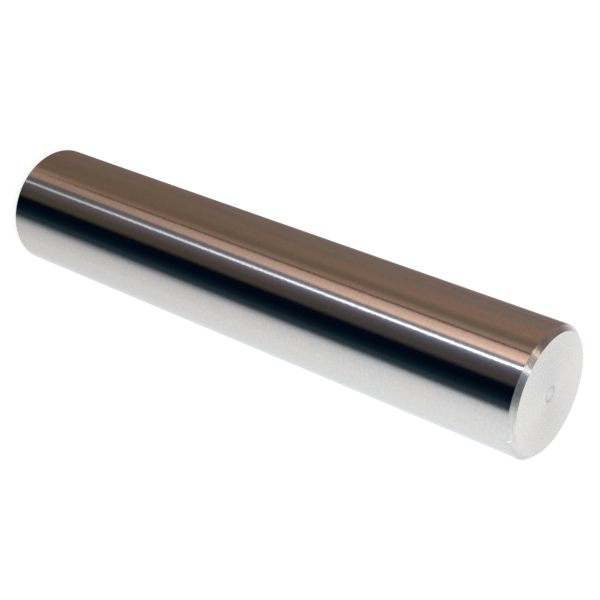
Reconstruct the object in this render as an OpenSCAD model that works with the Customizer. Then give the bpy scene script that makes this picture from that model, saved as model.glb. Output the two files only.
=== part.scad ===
// Rotary shaft: a straight round bar, turned to length and ground on its outside.
// One solid of revolution about +Z, standing on its lower end face at Z = 0.
// Lengths are in millimetres and angles in degrees.

/* [Shaft] */
// Diameter of the ground outside, which runs in a bearing or seats in a bore
journal_d = 25; // [10:0.5:60]
// Overall length, from one end face to the other
shaft_length = 125; // [30:1:400]

/* [End chamfers] */
// Length of each end's chamfer along the axis
chamfer_length = 1; // [0.2:0.1:2]
// Angle between the chamfer and the axis
chamfer_angle = 45; // [15:1:60]

/* [Centre marks] */
// Diameter of the shallow turned mark where it meets the end face
mark_mouth_d = 3.4; // [2.2:0.1:3.6]
// Diameter of the mark's flat floor
mark_floor_d = 2; // [0.5:0.1:2]
// Depth of the mark's floor below the end face
mark_depth = 0.12; // [0.05:0.01:0.5]

/* [Hidden] */

// Facets of a full turn in the preview
turn_facets = 180;

journal_r = journal_d / 2;
// How far the chamfer cuts in from the ground outside
chamfer_width = chamfer_length * tan(chamfer_angle);
end_face_r = journal_r - chamfer_width;

// Outline of one end from the axis outwards, each point being
// [radius, distance in from the end face]: floor, mark wall, face, chamfer
end_outline = [
    [0, mark_depth],
    [mark_floor_d / 2, mark_depth],
    [mark_mouth_d / 2, 0],
    [end_face_r, 0],
    [journal_r, chamfer_length]
];
last_point = len(end_outline) - 1;

// Half section of the whole shaft: up the lower end's outline,
// then back down the same outline turned over at the upper end
module half_section() {
    lower_end = end_outline;
    upper_end = [
        for (i = [last_point : -1 : 0])
            [end_outline[i].x, shaft_length - end_outline[i].y]
    ];
    polygon(concat(lower_end, upper_end));
}

// The whole shaft, turned from one bar
module shaft() {
    color([0.78, 0.78, 0.77])
    rotate_extrude($fn = turn_facets)
    half_section();
}

shaft();
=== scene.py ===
import math

import bpy
import numpy as np
from mathutils import Matrix, Vector


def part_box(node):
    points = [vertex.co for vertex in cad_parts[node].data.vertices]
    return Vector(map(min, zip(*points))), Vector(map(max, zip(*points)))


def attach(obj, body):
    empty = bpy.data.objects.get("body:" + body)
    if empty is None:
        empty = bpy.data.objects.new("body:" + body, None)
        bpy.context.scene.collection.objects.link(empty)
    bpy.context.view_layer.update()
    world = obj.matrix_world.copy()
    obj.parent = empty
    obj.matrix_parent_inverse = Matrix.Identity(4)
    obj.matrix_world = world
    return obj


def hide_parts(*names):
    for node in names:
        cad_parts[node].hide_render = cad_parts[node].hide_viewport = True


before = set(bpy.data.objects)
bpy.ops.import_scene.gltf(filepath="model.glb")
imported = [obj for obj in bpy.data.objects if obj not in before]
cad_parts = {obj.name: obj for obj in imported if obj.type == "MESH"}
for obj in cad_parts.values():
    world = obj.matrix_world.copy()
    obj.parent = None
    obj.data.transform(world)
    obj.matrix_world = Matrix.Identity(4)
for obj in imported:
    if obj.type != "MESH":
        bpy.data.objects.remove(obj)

mm = 0.001
degree = math.pi / 180
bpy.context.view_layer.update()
shaftLow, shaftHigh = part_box("shaft")
shaftRadius = shaftHigh.x
shaftLength = shaftHigh.z - shaftLow.z
print("frame loaded, shaft", round(shaftLength / mm, 2), "mm long")


# Node building, shared by the materials and the studio

def addNode(tree, kind, inputs=None, **settings):
    # One node: settings are its own values, and each input is a link or a fixed value
    node = tree.nodes.new(kind)
    for key, value in settings.items():
        setattr(node, key, value)
    for key, value in (inputs or {}).items():
        if isinstance(value, bpy.types.NodeSocket):
            tree.links.new(value, node.inputs[key])
        else:
            node.inputs[key].default_value = value
    return node


def sums(tree, operation, *values):
    # One Math node: operation on the given sockets or numbers
    inputs = dict(enumerate(values))
    return addNode(tree, "ShaderNodeMath", inputs, operation=operation).outputs[0]


def softStep(tree, value, start, end):
    # 0 before start, 1 after end, and a smooth S curve between them. Where start is the
    # larger, it falls as the value grows
    node = addNode(
        tree, "ShaderNodeMapRange", {"Value": value, "From Min": start, "From Max": end},
        interpolation_type="SMOOTHSTEP",
    )
    return node.outputs["Result"]


def window(tree, value, rise, fall):
    # 1 between the rise and the fall, each a (start, end) pair, and 0 outside them
    return sums(
        tree, "MULTIPLY", softStep(tree, value, *rise),
        sums(tree, "SUBTRACT", 1, softStep(tree, value, *fall)),
    )


def blendColours(tree, share, first, second):
    # (1 - share) * first + share * second. The Mix node's colour sockets are 6, 7 and 2
    node = addNode(tree, "ShaderNodeMix", data_type="RGBA")
    sockets = (node.inputs[0], node.inputs[6], node.inputs[7])
    for socket, value in zip(sockets, (share, first, second)):
        if isinstance(value, bpy.types.NodeSocket):
            tree.links.new(value, socket)
        else:
            socket.default_value = value
    return node.outputs[2]


def blendShaders(tree, share, first, second):
    # The first shader where share is 0, the second where it is 1
    return addNode(tree, "ShaderNodeMixShader", {0: share, 1: first, 2: second}).outputs[0]


# Camera: the shaft stands, and the rolled camera sees it lying across the frame

cameraPlace = {
    "stand": Vector((0, -222.06, 215.72)) * mm,
    "aim": Vector((0.40, 0, 69.82)) * mm,
    "roll": 111.13 * degree,     # turn about the line of sight
    "lens": 81.95,               # mm
    "sensor": 36,                # mm
    "clip": (0.01, 20),
}


def makeCamera(place):
    # Looks from stand to aim. Its level right and up directions are then turned by the roll a:
    # right = cos a * right + sin a * up, and up = cos a * up - sin a * right
    data = bpy.data.cameras.new("camera")
    data.lens = place["lens"]
    data.sensor_width = place["sensor"]
    data.clip_start, data.clip_end = place["clip"]
    camera = bpy.data.objects.new("camera", data)
    bpy.context.scene.collection.objects.link(camera)
    ahead = (place["aim"] - place["stand"]).normalized()
    levelRight = ahead.cross(Vector((0, 0, 1))).normalized()
    levelUp = levelRight.cross(ahead)
    c, s = math.cos(place["roll"]), math.sin(place["roll"])
    right = c * levelRight + s * levelUp
    up = c * levelUp - s * levelRight
    turn = Matrix((right, up, -ahead)).transposed().to_4x4()
    camera.matrix_world = Matrix.Translation(place["stand"]) @ turn
    bpy.context.scene.camera = camera


makeCamera(cameraPlace)
bpy.context.scene.view_settings.view_transform = "Standard"
print("camera placed")


# Studio: upright cards stand all round the shaft, and only the metal sees them. A card's
# place is a bearing in degrees from -Y, half-way to the direction that the metal mirrors

studio = {
    "cards": [
        # name, from, to, light at the shaft's head and at its foot, where 1 is white
        ("farLeft", -120, -90.2, (0.82, 0.85, 0.86), (0.76, 0.78, 0.78)),
        ("shelf", -88.6, -85, (0.50, 0.47, 0.45), (0.19, 0.17, 0.15)),
        ("brownWall", -77, -58, (0.26, 0.19, 0.16), (0.21, 0.14, 0.10)),
        ("door", -43, -40, (0.36, 0.21, 0.15), (0.20, 0.13, 0.083)),
        ("doorShade", -34, -31, (0.23, 0.15, 0.10), (0.21, 0.13, 0.087)),
        ("doorRim", -26.6, -25.4, (0.42, 0.28, 0.21), (0.29, 0.18, 0.12)),
        ("seam", -24.8, -24.0, (0.085, 0.045, 0.030), (0.10, 0.055, 0.035)),
        ("copperDim", -23.0, -22.4, (0.79, 0.52, 0.41), (0.42, 0.27, 0.19)),
        ("copperMid", -20.5, -19.8, (1.01, 0.67, 0.52), (0.42, 0.27, 0.20)),
        ("copperLit", -16.6, -15.2, (1.31, 0.90, 0.70), (0.35, 0.24, 0.18)),
        ("greyGap", -14.2, -13.3, (0.34, 0.32, 0.36), (0.14, 0.13, 0.13)),
        ("lampHalo", -11.95, -11.45, (0.35, 0.38, 0.49), (0.17, 0.17, 0.18)),
        ("stripLamp", -10.75, -10.45, (4.20, 4.20, 4.35), (0.96, 0.96, 1.00)),
        ("lampGlow", -9.60, -9.30, (0.40, 0.41, 0.53), (0.14, 0.13, 0.15)),
        ("duskGlow", -7.2, -7.0, (0.17, 0.17, 0.22), (0.14, 0.11, 0.11)),
        ("duskEdge", -4.6, -4.2, (0.10, 0.10, 0.11), (0.12, 0.090, 0.080)),
        ("duskPanel", -0.5, 2.3, (0.075, 0.062, 0.066), (0.084, 0.067, 0.046)),
        ("blackFlag", 5.7, 12.8, (0.0008, 0.004, 0.011), (0.001, 0.004, 0.010)),
        ("slateDeep", 17.8, 18.2, (0.0045, 0.017, 0.028), (0.003, 0.013, 0.024)),
        ("slateSide", 20.5, 22.3, (0.029, 0.044, 0.063), (0.020, 0.035, 0.046)),
        ("slateEdge", 24.4, 24.6, (0.084, 0.11, 0.13), (0.036, 0.057, 0.069)),
        ("tableRim", 27.5, 27.8, (0.69, 0.71, 0.73), (0.25, 0.27, 0.29)),
        ("tableStep", 30.7, 31.0, (0.91, 0.91, 0.92), (0.53, 0.53, 0.54)),
        ("tableNear", 34, 34.4, (0.96, 0.95, 0.96), (0.68, 0.67, 0.65)),
        ("tableMid", 39.5, 41, (1.05, 1.04, 1.05), (0.78, 0.76, 0.73)),
        ("paleTable", 48, 62, (1.07, 1.08, 1.08), (0.86, 0.85, 0.82)),
        ("tableEnd", 76, 79, (0.96, 1.00, 1.02), (0.84, 0.85, 0.85)),
        ("farRight", 90.2, 120, (0.82, 0.85, 0.86), (0.76, 0.78, 0.78)),
    ],
    "overhead": [
        # name, from, to, light
        ("beamEnd", -120, -76, (0.40, 0.37, 0.35)),
        ("brownBeam", -66, -48, (0.28, 0.21, 0.18)),
        ("beamShade", -42, -36.5, (0.22, 0.17, 0.15)),
        ("beamGlow", -31.8, -30.8, (0.42, 0.32, 0.28)),
        ("copperStrip", -28.3, -27.3, (1.42, 0.99, 0.83)),
        ("paleStrip", -24.4, -17.6, (0.48, 0.44, 0.42)),
        ("lampEdge", -14.4, -14.0, (0.54, 0.54, 0.57)),
        ("lamps", -11.9, -10.5, (1.74, 1.75, 1.83)),
        ("dimGlow", -8.9, -7.5, (0.41, 0.43, 0.51)),
        ("dimPanel", -4.5, -3.5, (0.25, 0.27, 0.31)),
        ("greyPanel", 1.5, 11, (0.18, 0.20, 0.22)),
        ("slateBeam", 17, 18, (0.33, 0.34, 0.34)),
        ("paleEdge", 25.3, 26.5, (0.83, 0.82, 0.82)),
        ("paleSheet", 43, 62, (1.03, 1.03, 1.05)),
        ("paleEnd", 76, 90, (0.96, 0.97, 1.00)),
        ("paleFall", 100, 120, (0.97, 0.98, 1.01)),
    ],
    "footSlope": -0.706,         # direction height that the foot reflects
    "headSlope": -0.385,         # and the head
    "paleLift": 0.035,           # how much brighter the pale cards are half-way up
    "paleFrom": (26, 32),        # bearings where the pale cards begin
    # Edges that lean at the foot: degrees, power of the way down, rise and fall of the window
    "leans": [
        (2.4, 2, (-21, -17), (-16, -13.2)),      # copper card
        (0.45, 3, (-13.4, -12.6), (-9.4, -8)),   # strip lamp
    ],
    # Patches that end the seam and the copper at the foot: rise and fall of the bearing,
    # direction heights between which the patch fades out, and colour
    "footPatches": [
        ((-33, -21), (-18, -16), (-0.708, -0.692), (0.43, 0.28, 0.21, 1)),
        ((-29, -27), (-23.2, -22.4), (-0.704, -0.695), (0.40, 0.26, 0.188, 1)),
    ],
    "mottle": 0.42,              # how much the brown and dusky cards' colours vary
    "mottleSize": (4.5, 4.5, 75),              # patches to a unit of direction
    "mottleDetail": 3.0,
    "brownUpTo": (-26, -30),     # bearings where the brown cards end
    "dusky": ((-8.5, -6.5), (3, 8)),           # rise and fall of the dusky cards' bearings
    "fan": 0.93,                 # how far behind the middle the cards fan out from, overhead
    "overheadFrom": (-0.12, 0.02),             # heights where the overhead cards take over
    "backdrop": (20, 42),        # half width of the pale backdrop behind, and where it ends
    "backdropFrom": (-0.385, -0.24),           # heights where it begins
    "backdropLow": (0.91, 0.905, 0.91, 1),
    "pale": (1.04, 1.04, 1.04, 1),
    "paleFade": (0, 0.26),       # heights where the backdrop turns from its low colour to pale
    "ceiling": (0.94, 0.975),    # heights where the pale ceiling begins
    "softLight": 1.0,            # light on what isn't a mirror
}
cardTurn = 240                   # degrees that the ramp of cards covers
rampStops = 30                   # most stops given to one colour ramp, which can hold 32


def cardRamp(tree, bearing, cards, atFoot=False):
    # Each card is two stops of one colour, at bearing / cardTurn + 0.5, and between cards the
    # colours run together. With many cards, a second ramp takes over at the first's last stop
    place = sums(tree, "ADD", sums(tree, "DIVIDE", bearing, cardTurn), 0.5)
    edges = [
        (edge / cardTurn + 0.5, colours[-1 if atFoot else 0])
        for _, start, end, *colours in cards for edge in (start, end)
    ]
    shown = None
    for first in range(0, len(edges), rampStops):
        part = edges[max(first - 1, 0):first + rampStops]
        node = addNode(tree, "ShaderNodeValToRGB", {0: place})
        stops = node.color_ramp.elements
        while len(stops) < len(part):
            stops.new(1)
        for stop, (position, colour) in zip(stops, part):
            stop.position = position
            stop.color = (*colour, 1)
        colours = node.outputs[0]
        past = sums(tree, "GREATER_THAN", place, part[0][0])
        shown = colours if shown is None else blendColours(tree, past, shown, colours)
    return shown


def lowCards(tree, look, bearing, z):
    # Upright cards: t is 0 at the direction height that the foot reflects and 1 at the head's,
    # and a card's colour is (1 - t) * foot colour + t * head colour
    upward = addNode(
        tree, "ShaderNodeMapRange",
        {"Value": z, "From Min": look["footSlope"], "From Max": look["headSlope"]},
    ).outputs["Result"]
    downward = sums(tree, "SUBTRACT", 1, upward)
    # An edge leans by its degrees * (1 - t) ^ power
    leaning = bearing
    for degrees, power, rise, fall in look["leans"]:
        lean = sums(
            tree, "MULTIPLY", sums(tree, "POWER", downward, power),
            window(tree, bearing, rise, fall),
        )
        leaning = sums(tree, "MULTIPLY_ADD", lean, degrees, leaning)
    colours = blendColours(
        tree, upward,
        cardRamp(tree, leaning, look["cards"], True), cardRamp(tree, leaning, look["cards"]),
    )
    # The pale cards are brighter by the share paleLift * 4 t (1 - t), which peaks half-way up
    lift = sums(
        tree, "MULTIPLY", sums(tree, "MULTIPLY", upward, downward),
        sums(tree, "MULTIPLY", softStep(tree, bearing, *look["paleFrom"]), 4 * look["paleLift"]),
    )
    colours = addNode(
        tree, "ShaderNodeVectorMath", {0: colours, "Scale": sums(tree, "ADD", 1, lift)},
        operation="SCALE",
    ).outputs[0]
    for rise, fall, fade, colour in look["footPatches"]:
        share = sums(
            tree, "MULTIPLY", window(tree, leaning, rise, fall),
            sums(tree, "SUBTRACT", 1, softStep(tree, z, *fade)),
        )
        colours = blendColours(tree, share, colours, colour)
    return colours


def mottledCards(tree, look, toward, bearing, colours):
    # Brown and dusky cards are multiplied by 1 - mottle + 2 * mottle * noise, whose patches lie
    # along the shaft
    patches = addNode(
        tree, "ShaderNodeVectorMath", {0: toward, 1: look["mottleSize"]}, operation="MULTIPLY"
    ).outputs[0]
    noise = addNode(
        tree, "ShaderNodeTexNoise",
        {"Vector": patches, "Scale": 1.0, "Detail": look["mottleDetail"]},
    ).outputs["Color"]
    swing = (2 * look["mottle"],) * 3
    least = (1 - look["mottle"],) * 3
    mottle = addNode(
        tree, "ShaderNodeVectorMath", {0: noise, 1: swing, 2: least}, operation="MULTIPLY_ADD"
    ).outputs[0]
    mottled = addNode(
        tree, "ShaderNodeVectorMath", {0: colours, 1: mottle}, operation="MULTIPLY"
    ).outputs[0]
    uneven = sums(
        tree, "MAXIMUM", softStep(tree, bearing, *look["brownUpTo"]),
        window(tree, bearing, *look["dusky"]),
    )
    return blendColours(tree, uneven, colours, mottled)


def makeStudio(look):
    world = bpy.data.worlds.new("studio")
    bpy.context.scene.world = world
    world.use_nodes = True
    world.cycles.sampling_method = "NONE"
    tree = world.node_tree
    tree.nodes.clear()
    toward = addNode(tree, "ShaderNodeTexCoord").outputs["Generated"]
    x, y, z = addNode(tree, "ShaderNodeSeparateXYZ", {0: toward}).outputs
    # A direction's bearing is atan2(x, reach - y). Below the horizon the reach is
    # sqrt(1 - z * z), which gives half the turn from -Y, and overhead it is the fan's distance
    flat = sums(tree, "SQRT", sums(tree, "SUBTRACT", 1, sums(tree, "MULTIPLY", z, z)))
    above = softStep(tree, z, *look["overheadFrom"])
    reach = sums(
        tree, "ADD", sums(tree, "MULTIPLY", flat, sums(tree, "SUBTRACT", 1, above)),
        sums(tree, "MULTIPLY", look["fan"], above),
    )
    bearing = sums(
        tree, "DIVIDE", sums(tree, "ARCTAN2", x, sums(tree, "SUBTRACT", reach, y)), degree
    )
    low = mottledCards(tree, look, toward, bearing, lowCards(tree, look, bearing, z))
    cards = blendColours(tree, above, low, cardRamp(tree, bearing, look["overhead"]))
    # The pale backdrop behind the shaft, within some degrees of +Y, and the pale ceiling
    fromBack = sums(tree, "ABSOLUTE", sums(tree, "DIVIDE", sums(tree, "ARCTAN2", x, y), degree))
    inner, outer = look["backdrop"]
    backdrop = sums(
        tree, "MULTIPLY", softStep(tree, fromBack, outer, inner),
        softStep(tree, z, *look["backdropFrom"]),
    )
    pale = sums(tree, "MAXIMUM", backdrop, softStep(tree, z, *look["ceiling"]))
    backing = blendColours(
        tree, softStep(tree, z, *look["paleFade"]), look["backdropLow"], look["pale"]
    )
    seen = blendColours(tree, pale, cards, backing)
    # The camera sees white, the metal mirrors the cards, and all else gets plain soft light
    path = addNode(tree, "ShaderNodeLightPath")
    soft = addNode(tree, "ShaderNodeBackground", {0: (1, 1, 1, 1), 1: look["softLight"]})
    mirrored = addNode(tree, "ShaderNodeBackground", {0: seen})
    white = addNode(tree, "ShaderNodeBackground", {0: (1, 1, 1, 1)})
    lit = blendShaders(
        tree, path.outputs["Is Glossy Ray"], soft.outputs[0], mirrored.outputs[0]
    )
    shown = blendShaders(tree, path.outputs["Is Camera Ray"], lit, white.outputs[0])
    addNode(tree, "ShaderNodeOutputWorld", {"Surface": shown})


floorLook = {
    "size": 1.2,
    "colour": (0.25, 0.25, 0.25, 1),
    "cameraGlow": 0.82,          # what the camera sees on top of the lit colour
}


def makeFloor(look):
    # A matt square at Z = 0 that keeps the shaft's shadow. The glow, for the camera alone,
    # lifts its lit colour to white
    half = look["size"] / 2
    mesh = bpy.data.meshes.new("floor")
    corners = [(-half, -half, 0), (half, -half, 0), (half, half, 0), (-half, half, 0)]
    mesh.from_pydata(corners, [], [(0, 1, 2, 3)])
    floor = bpy.data.objects.new("floor", mesh)
    bpy.context.scene.collection.objects.link(floor)
    floor.visible_glossy = False
    material = bpy.data.materials.new("paleFloor")
    material.use_nodes = True
    tree = material.node_tree
    tree.nodes.clear()
    matt = addNode(tree, "ShaderNodeBsdfDiffuse", {"Color": look["colour"]})
    path = addNode(tree, "ShaderNodeLightPath")
    glow = addNode(
        tree, "ShaderNodeEmission",
        {"Strength": sums(tree, "MULTIPLY", path.outputs["Is Camera Ray"], look["cameraGlow"])},
    )
    both = addNode(tree, "ShaderNodeAddShader", {0: matt.outputs[0], 1: glow.outputs[0]})
    addNode(tree, "ShaderNodeOutputMaterial", {"Surface": both.outputs[0]})
    mesh.materials.append(material)


makeStudio(studio)
makeFloor(floorLook)
print("studio built")


# Steel: a neutral metal whose fine marks run round the shaft. Noise scales are per metre

noiseSpread = (0.3, 0.7)         # noise seldom leaves this range
driftSpread = (0.35, 0.65)
noiseRoughness = 0.6
ringDetail = 3.0
grainDetail = 2.0

groundLook = {
    "cool": (0.630, 0.636, 0.640, 1),
    "warm": (0.642, 0.636, 0.630, 1),
    "drift": 110,                # scale of the colour's drift between cool and warm
    "ringShade": 0.010,          # share of the colour that rings add or take
    "grainShade": 0.11,          # and that grain does
    "roughness": (0.04, 0.07),
    "metallic": 1.0,
    "around": 220,               # rings change this slowly round the shaft
    "across": (5200, 2400),      # and this fast across: fine rings and broad ones
    "fineShare": 0.6,            # height of fine rings as a share of the broad ones'
    "ringDepth": 1.0e-5,
    "grain": 1700,
    "grainDepth": 4.5e-6,
}
chamferLook = {
    "cool": (0.650, 0.653, 0.656, 1),
    "warm": (0.662, 0.655, 0.647, 1),
    "drift": 400,
    "ringShade": 0.13,
    "grainShade": 0.14,
    "roughness": (0.10, 0.17),
    "metallic": 1.0,
    "around": 140,
    "across": (7000, 3600),
    "fineShare": 0.3,
    "ringDepth": 7.0e-6,
    "grain": 1500,
    "grainDepth": 1.8e-5,
}
facedLook = {
    "cool": (0.668, 0.670, 0.672, 1),
    "warm": (0.682, 0.668, 0.658, 1),
    "drift": 260,
    "ringShade": 0.012,
    "grainShade": 0.29,
    "roughness": (0.36, 0.44),
    "metallic": 0.6,
    "around": 90,
    "across": (5200, 1200),
    "fineShare": 0.4,
    "ringDepth": 4.0e-6,
    "grain": 2400,
    "grainDepth": 4.0e-6,
}
# Painted light on the turned face: a sheen in two opposite quarters and towards the rim, and
# painted shade on the centre mark's wall
faceSheenAndShade = {
    "bowTieSheen": 0.055,             # painted sheen: how much brighter two opposite quarters of the face are made to look
    "bowTieMiddle": 1 * mm,      # radius within which that fades
    "rimSheen": 0.075,            # painted sheen: how much brighter the rim is made to look
    "wallRise": (0.95 * mm, 1.15 * mm),   # radii of the centre mark's wall, which is darkened with painted shade
    "wallFall": (1.55 * mm, 1.75 * mm),
    "wallShadeLeast": 0.4,            # share of the painted shade's colour where the wall is palest
    # colour of the painted shade on the centre mark's wall
    "wallShadeColour": (0.50, 0.50, 0.505, 1),
}
# A nick on the upper end's outer edge, with its glint painted in as a white line
nickGlint = {
    "turn": 54 * degree,         # from -Y towards +X, on the upper end's outer edge
    "height": 124.3 * mm,
    "width": (0.22 * mm, 0.08 * mm),      # distances from its middle where it starts and
    "length": (0.62 * mm, 0.25 * mm),     # where it is full, across and along
    # white of the painted glint
    "colour": (1, 1, 1, 1),
}


def turnedFaceSheen(tree, look, x, y, square, shade):
    # Painted sheen on a turned face: its colour is made brighter in two opposite quarters, by -2
    # * the quarters' share * x y / (r r + the fading radius ^ 2), and towards its rim, by the
    # rim's share * (r / shaft radius) ^ 2
    spread = sums(tree, "ADD", square, look["bowTieMiddle"] ** 2)
    quarter = sums(tree, "DIVIDE", sums(tree, "MULTIPLY", x, y), spread)
    shade = sums(tree, "MULTIPLY_ADD", quarter, -2 * look["bowTieSheen"], shade)
    outward = sums(tree, "DIVIDE", square, shaftRadius ** 2)
    return sums(tree, "MULTIPLY_ADD", outward, look["rimSheen"], shade)


def markWallShade(tree, look, x, square, radius, colour):
    # Painted shade on the centre mark's wall, darkest towards +X and -X: the shade colour's share
    # is least + (1 - least) * (x / r) ^ 2, where least is its share where the wall is palest
    side = sums(tree, "DIVIDE", sums(tree, "MULTIPLY", x, x), square)
    wall = sums(
        tree, "MULTIPLY", window(tree, radius, look["wallRise"], look["wallFall"]),
        sums(tree, "MULTIPLY_ADD", side, 1 - look["wallShadeLeast"], look["wallShadeLeast"]),
    )
    return blendColours(tree, wall, colour, look["wallShadeColour"])


def glintedNickLine(tree, look, place, colour):
    # A painted glint: a thin white line across the nicked edge. It is near the nick's middle, and
    # near the plane that holds that middle and the axis
    c, s = math.cos(look["turn"]), math.sin(look["turn"])
    middle = (shaftRadius * s, -shaftRadius * c, look["height"])
    fromMiddle = addNode(
        tree, "ShaderNodeVectorMath", {0: place, 1: middle}, operation="DISTANCE"
    ).outputs["Value"]
    aside = addNode(
        tree, "ShaderNodeVectorMath", {0: place, 1: (c, s, 0)}, operation="DOT_PRODUCT"
    ).outputs["Value"]
    glintShare = sums(
        tree, "MULTIPLY", softStep(tree, fromMiddle, *look["length"]),
        softStep(tree, sums(tree, "ABSOLUTE", aside), *look["width"]),
    )
    return blendColours(tree, glintShare, colour, look["colour"])


def steelMaterial(name, look, ringsByRadius, paintedFaceLook=None):
    # Noise squeezed hard along one direction gives rings: along the axis on the ground
    # outside, and outwards from the axis on the turned ends
    material = bpy.data.materials.new(name)
    material.use_nodes = True
    tree = material.node_tree
    tree.nodes.clear()
    place = addNode(tree, "ShaderNodeTexCoord").outputs["Object"]
    x, y, z = addNode(tree, "ShaderNodeSeparateXYZ", {0: place}).outputs

    def noise(vector, scale, detail):
        # Noise round 0.5, with about scale patches to a unit of the vector
        inputs = {"Vector": vector, "Scale": scale, "Detail": detail, "Roughness": noiseRoughness}
        return addNode(tree, "ShaderNodeTexNoise", inputs).outputs[0]

    def swing(value, share):
        # share * (2 * value - 1)
        return sums(tree, "MULTIPLY_ADD", value, 2 * share, -share)

    square = sums(tree, "ADD", sums(tree, "MULTIPLY", x, x), sums(tree, "MULTIPLY", y, y))
    radius = sums(tree, "SQRT", square)
    run = radius if ringsByRadius else z
    rings = []
    for across in look["across"]:
        spot = addNode(tree, "ShaderNodeCombineXYZ", {
            0: sums(tree, "MULTIPLY", x, look["around"]),
            1: sums(tree, "MULTIPLY", y, look["around"]),
            2: sums(tree, "MULTIPLY", run, across),
        })
        rings.append(noise(spot.outputs[0], 1.0, ringDetail))
    fine, broad = rings
    grain = noise(place, look["grain"], grainDetail)
    drift = softStep(tree, noise(place, look["drift"], grainDetail), *driftSpread)
    # Colour: cool or warm by the drift, times 1 + grain's swing + the broad rings' swing
    shade = sums(
        tree, "ADD", 1, sums(
            tree, "ADD", swing(grain, look["grainShade"]),
            swing(softStep(tree, broad, *noiseSpread), look["ringShade"]),
        ),
    )
    # On the turned face, a painted sheen brightens two opposite quarters and the rim
    if paintedFaceLook:
        shade = turnedFaceSheen(tree, paintedFaceLook, x, y, square, shade)
    colour = blendColours(tree, drift, look["cool"], look["warm"])
    colour = addNode(
        tree, "ShaderNodeVectorMath", {0: colour, "Scale": shade}, operation="SCALE"
    ).outputs[0]
    # The centre mark's wall gets painted shade
    if paintedFaceLook:
        colour = markWallShade(tree, paintedFaceLook, x, square, radius, colour)
    # A painted glint on the nicked edge
    colour = glintedNickLine(tree, nickGlint, place, colour)
    # Roughness follows the fine rings, and the bump is both kinds of ring and the grain
    smooth, rough = look["roughness"]
    low, high = noiseSpread
    roughness = addNode(
        tree, "ShaderNodeMapRange",
        {"Value": fine, "From Min": low, "From Max": high, "To Min": smooth, "To Max": rough},
    ).outputs["Result"]
    ringHeight = sums(tree, "MULTIPLY_ADD", fine, look["fineShare"], broad)
    height = sums(
        tree, "MULTIPLY_ADD", grain, look["grainDepth"] / look["ringDepth"], ringHeight
    )
    bump = addNode(
        tree, "ShaderNodeBump",
        {"Strength": 1.0, "Distance": look["ringDepth"], "Height": height},
    )
    steel = addNode(tree, "ShaderNodeBsdfPrincipled", {
        "Base Color": colour, "Metallic": look["metallic"], "Roughness": roughness,
        "Normal": bump.outputs[0],
    })
    addNode(tree, "ShaderNodeOutputMaterial", {"Surface": steel.outputs[0]})
    return material


# Shaft: one outline turned about the Z axis

shaftForm = {
    "chamfer": 1.0 * mm,
    "innerRound": 0.06 * mm,     # the chamfer's edge on the face is just broken
    "outerRound": 0.14 * mm,     # and its edge on the ground outside a little more
    "roundInset": 0.2,           # finishes meet this share of a round's radius inside its corner
    "markMouth": 3.4 * mm,
    "markFloor": 2.0 * mm,
    "markDepth": 0.12 * mm,
    "floorRound": 1.2 * mm,      # the mark is a soft dish
    "mouthRound": 0.6 * mm,
    "turnSteps": 384,
    "journalSteps": 60,
    "endSteps": [3, 1, 14, 2],   # mark floor, mark wall, face and chamfer
    "arcSteps": 6,
}


def roundedOutline(corners, radii, runSteps, arcSteps):
    # Walks from corner to corner. A corner with a radius becomes an arc that touches both
    # runs: it starts radius * tan(half the turn) before the corner, and turns at a constant
    # rate. Each run is cut in equal steps. The points come back with their outward normals
    # and the length walked so far
    corners = np.array(corners, float)
    ways = np.diff(corners, axis=0)
    lengths = np.linalg.norm(ways, axis=1)
    ways /= lengths[:, None]
    angles = np.unwrap(np.arctan2(ways[:, 1], ways[:, 0]))
    turns = np.concatenate([[0], np.diff(angles), [0]])
    radii = np.array([0, *radii, 0], float)
    cuts = radii * np.tan(np.abs(turns) / 2)
    points, heading = [], []
    for i in range(len(ways)):
        share = np.linspace(0, 1, runSteps[i] + 1)
        start = corners[i] + ways[i] * cuts[i]
        end = corners[i + 1] - ways[i] * cuts[i + 1]
        points.append(start + (end - start) * share[:, None])
        heading.append(np.full(share.size, angles[i]))
        if i + 1 < len(ways) and radii[i + 1] > 0:
            side = np.sign(turns[i + 1])
            swing = angles[i] + turns[i + 1] * np.linspace(0, 1, arcSteps + 1)[1:-1]
            centre = end + side * radii[i + 1] * np.array([-ways[i, 1], ways[i, 0]])
            reach = np.stack([np.sin(swing), -np.cos(swing)], 1)
            points.append(centre + side * radii[i + 1] * reach)
            heading.append(swing)
    points, heading = np.concatenate(points), np.concatenate(heading)
    normals = np.stack([np.sin(heading), -np.cos(heading)], 1)
    walked = np.concatenate([[0], np.cumsum(np.linalg.norm(np.diff(points, axis=0), axis=1))])
    return points, normals, walked


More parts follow.
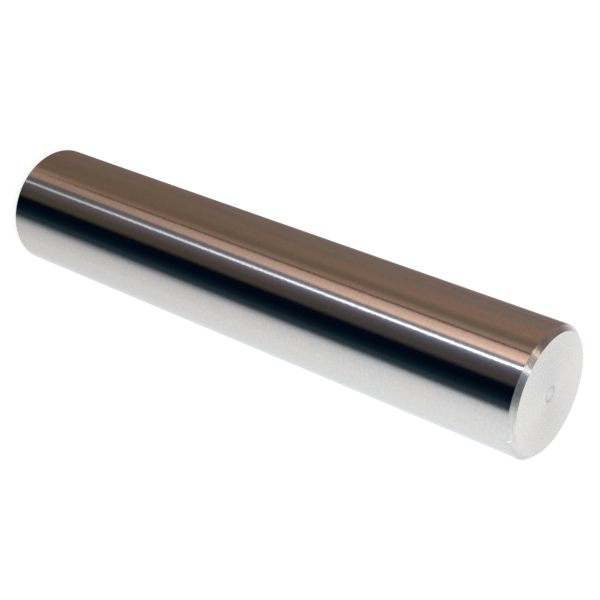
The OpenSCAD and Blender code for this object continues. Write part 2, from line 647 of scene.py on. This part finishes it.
def turnedSurface(name, points, normals, walked, steps):
    # Point (r, z) of the outline goes to (r cos a, r sin a, z) for each of the turn's angles a.
    # The outline starts and ends on the axis, where each ring shrinks to one point. The map
    # has u = a share of the turn and v = the share of the outline walked so far
    angle = np.arange(steps) * 2 * np.pi / steps
    rows = len(points) - 2

    def turned(outline):
        # A ring of turned points or normals for each row of the outline
        up = np.broadcast_to(outline[:, 1:], (rows, steps))
        return np.stack([outline[:, :1] * np.cos(angle), outline[:, :1] * np.sin(angle), up], 2)

    poles = np.array([[0, 0, points[0, 1]], [0, 0, points[-1, 1]]])
    poleNormals = np.array([[0, 0, -1.0], [0, 0, 1.0]])
    vertices = np.concatenate([turned(points[1:-1]).reshape(-1, 3), poles])
    vertexNormals = np.concatenate([turned(normals[1:-1]).reshape(-1, 3), poleNormals])

    first = np.arange(steps)
    after = (first + 1) % steps
    row = np.arange(rows - 1)[:, None] * steps
    last = (rows - 1) * steps
    lowPole, highPole = rows * steps, rows * steps + 1
    quads = np.stack([row + first, row + after, row + steps + after, row + steps + first], 2)
    lowFan = np.stack([np.full(steps, lowPole), after, first], 1)
    highFan = np.stack([np.full(steps, highPole), last + first, last + after], 1)
    corners = np.concatenate([quads.reshape(-1), lowFan.reshape(-1), highFan.reshape(-1)])
    counts = np.concatenate([np.full(quads.size // 4, 4), np.full(2 * steps, 3)])

    def spots(u, v):
        # Pairs (u, v) on the map, where a lone u or v serves the whole row
        return np.stack(np.broadcast_arrays(u, v), -1)

    left = first / steps
    right = left + 1 / steps
    middle = left + 0.5 / steps
    v = walked[1:-1] / walked[-1]
    low, high = v[:-1, None], v[1:, None]
    quadMap = np.stack(
        [spots(left, low), spots(right, low), spots(right, high), spots(left, high)], 2
    )
    lowMap = np.stack([spots(middle, 0), spots(right, v[0]), spots(left, v[0])], 1)
    highMap = np.stack([spots(middle, 1), spots(left, v[-1]), spots(right, v[-1])], 1)
    bakeMap = np.concatenate([part.reshape(-1, 2) for part in (quadMap, lowMap, highMap)])

    mesh = bpy.data.meshes.new(name)
    mesh.vertices.add(len(vertices))
    mesh.vertices.foreach_set("co", vertices.ravel())
    mesh.loops.add(len(corners))
    mesh.loops.foreach_set("vertex_index", corners)
    mesh.polygons.add(len(counts))
    mesh.polygons.foreach_set("loop_start", np.cumsum(counts) - counts)
    mesh.polygons.foreach_set("loop_total", counts)
    mesh.update(calc_edges=True)
    mesh.uv_layers.new(name="OFBake").data.foreach_set("uv", bakeMap.ravel())
    mesh.validate()
    mesh.polygons.foreach_set("use_smooth", np.ones(len(counts), bool))
    mesh.normals_split_custom_set_from_vertices(vertexNormals)
    return mesh


def makeShaft(form):
    # One end's corners (r, z), from the axis outwards, and the other end's the other way up
    radius, length, chamfer = shaftRadius, shaftLength, form["chamfer"]
    mouth, floor, depth = form["markMouth"] / 2, form["markFloor"] / 2, form["markDepth"]
    oneEnd = [(0, depth), (floor, depth), (mouth, 0), (radius - chamfer, 0), (radius, chamfer)]
    otherEnd = [(r, length - z) for r, z in reversed(oneEnd)]
    rounds = [form["floorRound"], form["mouthRound"], form["innerRound"], form["outerRound"]]
    points, normals, walked = roundedOutline(
        oneEnd + otherEnd, rounds + rounds[::-1],
        form["endSteps"] + [form["journalSteps"]] + form["endSteps"][::-1], form["arcSteps"],
    )
    steps = form["turnSteps"]
    mesh = turnedSurface("rotaryShaft", points, normals, walked, steps)
    mesh.materials.append(steelMaterial("groundSteel", groundLook, False))
    mesh.materials.append(steelMaterial("chamferSteel", chamferLook, True))
    mesh.materials.append(steelMaterial("facedSteel", facedLook, True, faceSheenAndShade))
    # Each row of faces is ground, chamfer or faced by how far out its middle lies, and the
    # finishes meet within an edge's round, a little inside its corner
    rowRadius = (points[1:-2, 0] + points[2:-1, 0]) / 2
    outside = radius - form["outerRound"] * form["roundInset"]
    inside = radius - chamfer - form["innerRound"] * form["roundInset"]
    finish = 1 * (rowRadius < outside) + 1 * (rowRadius < inside)
    facedSlot = 2
    slots = np.concatenate([np.repeat(finish, steps), np.full(2 * steps, facedSlot)])
    mesh.polygons.foreach_set("material_index", slots.astype(np.int32))
    piece = bpy.data.objects.new("rotaryShaft", mesh)
    bpy.context.scene.collection.objects.link(piece)
    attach(piece, "root")
    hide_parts("shaft")
    print("shaft turned,", len(mesh.polygons), "faces")


makeShaft(shaftForm)
